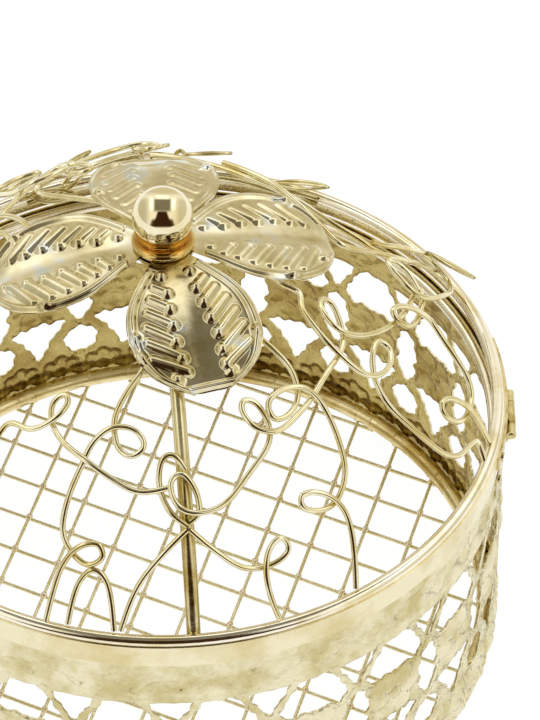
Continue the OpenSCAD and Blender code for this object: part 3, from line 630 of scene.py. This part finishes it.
# ---- Petals
# Four petals of thin sheet, stamped with a sunk middle channel, raised side veins that end in
# beads, a raised line round the edge and a turned-down tip. They lie over the dome, clamped under
# the collar.
DOME_R = 147.416
DOME_Z = 52.084
HUB_R = 12
PETAL_REACH = 66
PETAL_ROOT = 4.6
PETAL_T = 0.8
PETAL_LIFT = 2.0
# Down, up and over: the sunk channel, the lifted edge and the turned-down tip.
CHANNEL_DEPTH, CHANNEL_FROM, CHANNEL_RUN, CHANNEL_SPREAD = 1.15, 8, 16, 30
EDGE_LIFT = 0.7
TIP_FROM, TIP_DROP = 0.86, 1.8
PETAL_AZ = {"front": -73, "right": 16, "back": 96, "left": 185}
PETAL_SHAPE = [(0, 3.6), (0.17, 12.3), (0.4, 22.5), (0.63, 25), (0.82, 21.5), (0.93, 15), (1, 7)]
# Each vein: where it starts beside the channel and where it ends near the edge.
VEINS = [(25, 5.4, 21, 9.8), (31.9, 6.4, 26, 12.5), (38.9, 7.1, 31.2, 15.3),
         (45.7, 8.1, 37.2, 17.2), (52.3, 7.7, 43.4, 18.3), (57.8, 7.3, 50.3, 18.5)]
# Radius and height of the stamping: a vein at both its ends, the bead that it starts in, and the
# lone bead nearest the hub. Then height and half width of the line round the edge, how far in
# from the edge it runs, and where it starts.
VEIN_R, VEIN_HEIGHT = (2.3, 2.1), (1.9, 1.5)
VEIN_BEAD = (2.7, 2.3)
VEIN_BEADS = 5
LONE_BEAD_AT, LONE_BEAD = (16.9, 5.4), (2.4, 1.8)
EDGE_LINE, EDGE_IN, EDGE_FROM = (1.6, 1.15), 2.3, 14
# How full the stamping came out on each petal.
PRESS = {"front": 1, "right": 0.5, "back": 0.4, "left": 0.75}
# Single knocks near the edge, along and across each petal, and their height and radius.
KNOCK = (1.7, 1.844)
KNOCKS = {"front": [(49, -22.2), (59.5, -11.7), (60.7, 8.6), (47.5, 21.8), (41.2, -22.2)],
          "right": [(53, 20), (60, -12), (44, -23)], "back": [(58, 13), (50, -21), (36, 21)],
          "left": [(55, -18), (61, 6), (45, 22.5)]}


def smooth_route(points, steps):
    """A smooth curve through points, with the same number of steps in each stretch."""
    points = [Vector(p) for p in points]
    last = len(points) - 1
    route = []
    for i in range(last):
        around = [points[max(i - 1, 0)], points[i], points[i + 1], points[min(i + 2, last)]]
        route += [curve_at(*around, k / steps) for k in range(steps)]
    return route + [points[last]]


def above_dome(x, y, lift):
    """The point that far outside the dome, over a place in plan."""
    out = Vector((x, y, sqrt(DOME_R ** 2 - x * x - y * y))) / DOME_R
    return Vector((0, 0, DOME_Z)) + out * (DOME_R + lift)


EDGE_POINTS = 16
petal_edge = smooth_route(PETAL_SHAPE, EDGE_POINTS)


def half_width(share):
    """Half width of a petal at a share of its length."""
    for a, b in zip(petal_edge, petal_edge[1:]):
        if share <= b.x:
            return a.y + (b.y - a.y) * (share - a.x) / (b.x - a.x)
    return petal_edge[-1].y


def ridge(distance, half, height):
    """A round ridge that swells softly out of the sheet."""
    return height * (1 - (distance / half) ** 2) ** 1.25 if distance < half else 0


def petal_height(s, w, half, press, knocks):
    """Height of the stamped sheet over the dome at a place along and across the petal."""
    side = abs(w)
    tip = max(s / PETAL_REACH - TIP_FROM, 0) / (1 - TIP_FROM)
    channel = (sin(pi / 2 * min(max((s - CHANNEL_FROM) / CHANNEL_RUN, 0), 1))
               * exp(-w * w / CHANNEL_SPREAD) * (1 - tip))
    seat = (DOME_R + PETAL_LIFT) * (1 / cos(asin(min(hypot(s, w), HUB_R) / DOME_R)) - 1)
    lift = (PETAL_LIFT + seat - CHANNEL_DEPTH * channel
            + EDGE_LIFT * (side / half) ** 6 * min(s / EDGE_FROM, 1) - TIP_DROP * tip * tip)
    stamp = ridge(hypot(s - LONE_BEAD_AT[0], side - LONE_BEAD_AT[1]), *LONE_BEAD)
    for number, (s0, w0, s1, w1) in enumerate(VEINS):
        run = (s1 - s0) ** 2 + (w1 - w0) ** 2
        t = min(max(((s - s0) * (s1 - s0) + (side - w0) * (w1 - w0)) / run, 0), 1)
        off = hypot(s - s0 - t * (s1 - s0), side - w0 - t * (w1 - w0))
        radius, height = (a + (b - a) * t for a, b in (VEIN_R, VEIN_HEIGHT))
        stamp = max(stamp, ridge(off, radius, height))
        if number < VEIN_BEADS:
            stamp = max(stamp, ridge(hypot(s - s0, side - w0), *VEIN_BEAD))
    from_edge = min(half - side, 1.3 * (PETAL_REACH - s))
    if s > EDGE_FROM:
        stamp = max(stamp, swell(from_edge - EDGE_IN, *EDGE_LINE))
    return lift + press * stamp + sum(swell(hypot(s - at, w - out), *KNOCK)
                                      for at, out in knocks)


def stamp_petal(azimuth, press, knocks):
    """One petal of sheet, laid over the dome and turned to its place."""
    bpy.ops.mesh.primitive_grid_add(x_subdivisions=170, y_subdivisions=136, size=1)
    petal = bpy.context.object
    turn = Matrix.Rotation(radians(azimuth), 3, "Z")
    for point in petal.data.vertices:
        share, out = point.co.x + 0.5, 2 * point.co.y
        half = half_width(share)
        s, w = PETAL_ROOT + share * (PETAL_REACH - PETAL_ROOT), out * half
        point.co = turn @ above_dome(s, w, petal_height(s, w, half, press, knocks)) / 1000
    wall = petal.modifiers.new("sheet", "SOLIDIFY")
    wall.thickness = PETAL_T / 1000
    wall.offset = 0
    bpy.ops.object.modifier_apply(modifier=wall.name)
    bpy.ops.object.shade_smooth_by_angle(angle=radians(60))
    return petal


# Bright sheet from a second bath: pale gold with cooler, greenish-white patches.
petal_metal = gold_plating("stamped_petal_sheet", "#e6dcb8", "#c6b888", 0.12, 18, 2, 0.05,
                           cool="#d8dcd6")
for side, azimuth in PETAL_AZ.items():
    petal = stamp_petal(azimuth, PRESS[side], KNOCKS[side])
    fit_piece(petal, f"petal_{side}_stamping", petal_metal, "lid", "petal_sheet",
              f"petal_{side}")

# ---- Scroll wires
# Round steel wire bent by hand into curls over the dome, each end welded to a rib, ring or wire.
# The same curls, turned half round, fill the back of the dome.
SCROLL_WIRE = 2.3
WIRE_STEPS = 8
EASE_PASSES = 5
# The layout was drawn for a ring of 131 mm radius, and the lid ring has 131.1.
LAYOUT_SCALE = 131.1 / 131
# Each route: places in plan and the height over the dome. Where a wire crosses itself, one strand
# goes that far over and the other as far under.
OVER = 1.35
SCROLL_ROUTES = [
    # The long wire with four curls, from the front rib to the right
    [(11, -104, 0), (14.5, -101, 0), (13, -95, 0.4), (8, -90.5, 0.8), (3.6, -93.5, 1.4),
     (6, -99.5, 2.2), (13, -101.5, 2.7), (24, -98, 1), (33, -88, 0), (40, -78.5, -0.6),
     (41, -71.5, -OVER), (36.5, -65, -0.6), (31, -64.5, 0), (30.5, -69, 0.4), (36, -73.8, 1.2),
     (44, -72.6, OVER), (51, -65.5, 0.6), (57, -57, 0), (63, -45, 0), (68.5, -34, -0.6),
     (69, -24.5, -OVER), (65, -14.5, -0.6), (60.5, -14.5, 0), (60.5, -20.5, 0.6),
     (66, -27, OVER), (75, -25.6, 0.8), (84.6, -16.8, 0), (91.2, -6.1, 0), (94.5, 2.8, 0.2),
     (96.3, 9.8, 0.5), (97.4, 16, 0)],
    # From the crossing down to the lid ring
    [(57, -57, 1.9), (61, -59.5, 0.6), (66, -67, 0), (69.6, -77, -0.5), (67.5, -86, -OVER),
     (61.5, -91.6, -0.8), (54, -93.6, 0), (52.4, -90.6, 0.5), (57, -88, 0.9),
     (64.5, -87.6, OVER), (70, -91, 0.8), (72.6, -98, 0), (73.4, -106.6, 0)],
    # From the crossing round a curl and up under the front petal
    [(57, -57, 1.9), (52, -56, 3), (45, -58.6, 3), (39.4, -64.4, 2.9), (41.6, -69.4, 2.4),
     (47, -67, 1.2), (51, -60.6, 0.2), (50.6, -53, 0), (46.4, -46.4, 0), (36, -38.6, 0),
     (26, -33, 0), (12, -22, 0)],
    # From the front rib down to the ring, with a curl
    [(11, -106, 0), (19, -110, 0), (29, -113.2, -0.4), (36.6, -112.6, -OVER), (43.6, -109.8, -0.8),
     (48, -105.6, 0), (45, -103.2, 0.6), (40.4, -107, 1.2), (39, -112.4, OVER),
     (41, -118, 0.6), (44.6, -122, 0)],
    # Round the right side
    [(38, -5, 0), (45, -12, 0), (52, -14.6, 0.4), (52.6, -23, 1.2), (59, -32.4, 2.2),
     (68, -38.8, 1.8), (76, -41.4, OVER), (82.4, -38.4, OVER), (86.6, -31, 0.8), (86.6, -24, 0),
     (82.4, -23, -0.6), (80.8, -31, -OVER), (82, -40.6, -OVER), (87, -47.6, -0.6),
     (96, -51, 0), (107, -51.4, 0), (114, -46.6, 0), (118.6, -38.4, 0), (121.6, -34, 0),
     (124.6, -38, 0)],
    # The two curls beside the hinge
    [(99.3, 17, 1.2), (99.9, 10.5, 0.7), (99.6, 3.4, -1), (97, -4.5, -0.2), (93.6, -9.6, 1.2),
     (90.2, -10.6, 2), (87.6, -9.6, 2.3), (86.8, -7, 2.7), (89.4, -3.4, 3), (93.8, -0.4, 2.6),
     (98.6, 1.8, 1.7), (103.3, 2.6, 0.6), (107.6, -0.7, 0), (111.4, -4.2, 0), (115.1, -7.4, 0),
     (118.8, -10.6, -0.4), (120.4, -16, -1), (119.6, -23, -OVER), (116.4, -31, -0.9),
     (112.2, -35.6, -0.3), (108.4, -36.6, 0), (106.8, -33.8, 0.4), (108.6, -30, 0.9),
     (112.4, -27.4, 1.2), (117, -26, OVER), (121.6, -26.6, 0.9), (126.4, -28.6, 0)],
    # From under the left petal down the left side
    [(-8, -22, 0), (-5, -40, 0), (-6, -54, 0), (-12.4, -63, 0), (-17.6, -72, -OVER),
     (-16.4, -81.6, -1), (-10.6, -85.2, 0), (-6, -82, 0.6), (-9.6, -77, 1.1), (-18, -75.6, OVER),
     (-25.6, -79.6, 0), (-30, -86, -OVER), (-35, -95, -0.6), (-37.2, -103, -OVER),
     (-34, -109, -OVER), (-27.4, -113.2, 0), (-21.6, -112, 0.6), (-23.4, -108.4, 1.1),
     (-31, -108.4, OVER), (-37, -112, 0.8), (-41, -118, 0), (-43.4, -122.6, 0)],
    # From the front rib across to the left side
    [(4, -94.6, 0), (-8, -96, 0.2), (-19, -91, 0), (-29, -84, OVER), (-37, -77.4, 0.2),
     (-41.6, -69.6, -OVER), (-41, -63.4, -0.6), (-36.4, -61.4, 0), (-35, -65.4, 0.7),
     (-40, -69.8, OVER), (-49, -71, 0.6), (-58, -66, 0), (-65, -74, 0), (-72, -86, -OVER),
     (-80, -89, -0.6), (-85, -83, 0), (-80, -78.6, 0.7), (-73.6, -83.6, OVER),
     (-71.6, -94, 0.8), (-76, -105, 0)],
    # The short loop on the front rib
    [(10, -105, 0), (3.4, -101.4, 0), (-0.6, -94, -1.9), (0.4, -86.6, 0), (5, -85, 0),
     (9.4, -89.4, 0)],
    # From the front rib down to the ring on the left
    [(10, -106, 0), (0, -113, 0), (-9, -120, 0), (-15, -128.4, 0)],
    # The small curl on the lid ring
    [(-35, -124.6, 0), (-31.6, -117.6, 0), (-26, -114.4, 0), (-20.8, -117, 0), (-18.6, -122, 0),
     (-17.6, -128.2, 0)]
]
# The wires of the right side, behind the hinge.
RIGHT_ROUTES = [
    # From the back rib along the back and down to the right
    [(-6.6, 78, 0), (2, 74, 0), (13, 68, 0), (24, 61, 0.2), (33, 55, 0.3), (42, 50, 0.5),
     (53, 43.6, 0.2), (64, 35.6, 0), (74, 31.8, 0), (80, 29.4, 0), (86, 28.6, 0)],
    # Beside it, dipping towards the right petal, and on to the lid ring
    [(22, 64.5, 1.8), (32, 56.5, 2.4), (41, 49.2, 2.7), (49, 42, 1.6), (57, 34, 0.4), (63, 27, 0),
     (68, 21.6, 0), (74, 22.6, 0), (80, 24.6, 0.6), (87, 26.4, 2), (94, 32, 1.2), (100, 40.4, 0),
     (108, 47, 0), (118.4, 52.4, 0)],
    # The flat double loop over the ends of both, above the hinge
    [(97.6, 13.4, 2.1), (95.4, 18, 2.1), (92, 22.6, 2.1), (88.4, 24, 2.1), (85.8, 22, 2.1),
     (86.6, 18.4, 2.1), (89.6, 14.6, 2.2), (93.8, 10.6, 2.6), (98.4, 9.8, 3), (102.4, 13.4, 3),
     (106.4, 20.4, 2.4), (110.6, 31, 2.1), (110.9, 39, 2.1), (108.2, 44.8, 2.1), (104.2, 48.8, 2.1),
     (100, 47.6, 2.1), (94.4, 41.4, 2.4), (88.6, 35.4, 2.4), (84, 31.6, 2.1), (79.8, 30, 2.1)]
]


def on_dome(p):
    """A place of the layout, on the dome or that far over it."""
    return above_dome(p[0] * LAYOUT_SCALE, p[1] * LAYOUT_SCALE, p[2])


def ease(route, passes):
    """Rounds the tight turns of a route, as wire does over a mandrel."""
    for _ in range(passes):
        route = ([route[0]] + [(a + 2 * b + c) / 4 for a, b, c in zip(route, route[1:], route[2:])]
                 + [route[-1]])
    return route


# Bright drawn wire, plated after bending: a thin white gleam along each strand.
scroll_metal = gold_plating("bright_plated_wire", "#f6eec8", "#decd90", 0.12, 20, 2, 0.05)
wires = [(f"scroll_front_{k}", plan, 0) for k, plan in enumerate(SCROLL_ROUTES, 1)]
wires += [(f"scroll_back_{k}", plan, pi) for k, plan in enumerate(SCROLL_ROUTES[:6], 1)]
wires += [(f"scroll_right_{k}", plan, 0) for k, plan in enumerate(RIGHT_ROUTES, 1)]
for name, plan, turn in wires:
    route = ease(smooth_route(plan, WIRE_STEPS), EASE_PASSES)
    route = [Matrix.Rotation(turn, 3, "Z") @ on_dome(p) for p in route]
    wire = bend_wire(route, SCROLL_WIRE)
    fit_piece(wire, f"{name}_wire", scroll_metal, "lid", "scroll_wire", name)

# ---- Vine
# Thinner steel wires twined along the back of the dome, with open leaves bent from wire. All of
# it is soldered to the lid ring and to the wires that it meets.
VINE_ROUTES = [
    # From the lid ring up the back of the dome, ending in a leaf
    [(-60.7, 116.2, -3.5), (-53.2, 119.6, -3.5), (-47.2, 121.1, -3.4), (-41.9, 121.6, -2.5),
     (-37.9, 120.3, -1.4), (-31.3, 118.4, 0.7), (-24.9, 117, 1.1), (-19.3, 116.4, 1.7)],
    # Along the whole back, from lid ring to lid ring
    [(-62.8, 113.3, -1.4), (-58.6, 115.1, -1.3), (-52.5, 114.6, -0.2), (-46.9, 114.8, -0.2),
     (-39.7, 117.4, -0.6), (-35.3, 117, -0.4), (-21.6, 117.5, 0.1), (-12.6, 117.5, 0.4),
     (-6.3, 116.7, 0.9), (3.7, 118.9, 0.2), (11.9, 121.5, -0.2), (24.6, 122, -1.2),
     (30.2, 122.2, -2.3), (43, 120, -3.6), (52.3, 117.6, -2.6), (60.9, 114.4, -1.7)],
    # The hook under it
    [(12, 120.5, -0.6), (11.4, 122.9, -2.2), (13, 125.9, -3.1), (17.2, 126.8, -3.1),
     (20.5, 126.8, -2.9), (33.2, 124.7, -3.1), (42.9, 122.4, -3.8), (53.1, 119.2, -3.7),
     (61.5, 115.7, -3.4)],
    # The narrow upright eye that the long wire runs through
    [(6, 122.9, -6.8), (5.9, 120.7, -4.3), (6, 118.2, -1.3), (5.7, 116.5, 0.8), (4, 115.8, 1.8),
     (2.4, 116.6, 0.8), (2.3, 118.4, -1.3), (2.5, 120.8, -4.3), (2.6, 123, -6.8)]
]
VINE_WIRE = 1.9
VINE_STEPS = 6
LEAF_WIDTH = 8
LEAF_WIRE = 1.5
VEIN_WIRE = 1.2
VEIN_BOW = 0.5
# Each leaf: its foot in plan, its heading, pitch and roll in degrees, and its length.
LEAVES = [((-48.2, 114, 0.7), (12, 35, -16), 19), ((-58.7, 114.3, -2.7), (12, -5, 24), 19),
          ((-18.2, 116.2, 2.1), (4, 12, -32), 18), ((5.8, 118.6, 1.3), (-2, 4, -38), 19),
          ((42.9, 119.8, -1.9), (-22, 14, -6), 25), ((30, 122, -1.2), (-17, -10, -36), 15),
          ((101.1, 48.4, 3.8), (-9, -30, -30), 22)]


def leaf_outline(length):
    """One side of an open leaf after the other, from stem to tip and back."""
    side = [(length * t, (LEAF_WIDTH - LEAF_WIRE) / 2 * sin(pi * t) ** 0.8 * (1 - 0.25 * t))
            for t in (k / 12 for k in range(13))]
    return [(x, y, 0) for x, y in side] + [(x, -y, 0) for x, y in side[-2:0:-1]]


# Thin plating on soldered wire: patchier and darker than the scrolls.
vine_metal = gold_plating("plated_vine_wire", "#e6dbac", "#c4b06c", 0.17, 9, 2)
for name, plan in zip(("vine_wire_1", "vine_wire_2", "vine_wire_3", "vine_eye"), VINE_ROUTES):
    wire = bend_wire([on_dome(p) for p in smooth_route(plan, VINE_STEPS)], VINE_WIRE)
    fit_piece(wire, f"{name}_bent", vine_metal, "lid", "vine_metal", name)
leaves = []
for foot, (heading, pitch, roll), length in LEAVES:
    set_down = (Matrix.Translation(on_dome(foot)) @ Matrix.Rotation(radians(heading), 4, "Z")
                @ Matrix.Rotation(radians(-pitch), 4, "Y") @ Matrix.Rotation(radians(roll), 4, "X"))
    leaves.append(bend_wire([set_down @ Vector(p) for p in leaf_outline(length)], LEAF_WIRE, True))
    leaves.append(bend_wire([set_down @ Vector((length * t, 0, VEIN_BOW * sin(pi * t)))
                             for t in (0, 0.2, 0.4, 0.6, 0.8, 1)], VEIN_WIRE))
leaves = join_up(leaves)
fit_piece(leaves, "vine_open_leaves", vine_metal, "lid", "vine_metal", "vine_leaves")
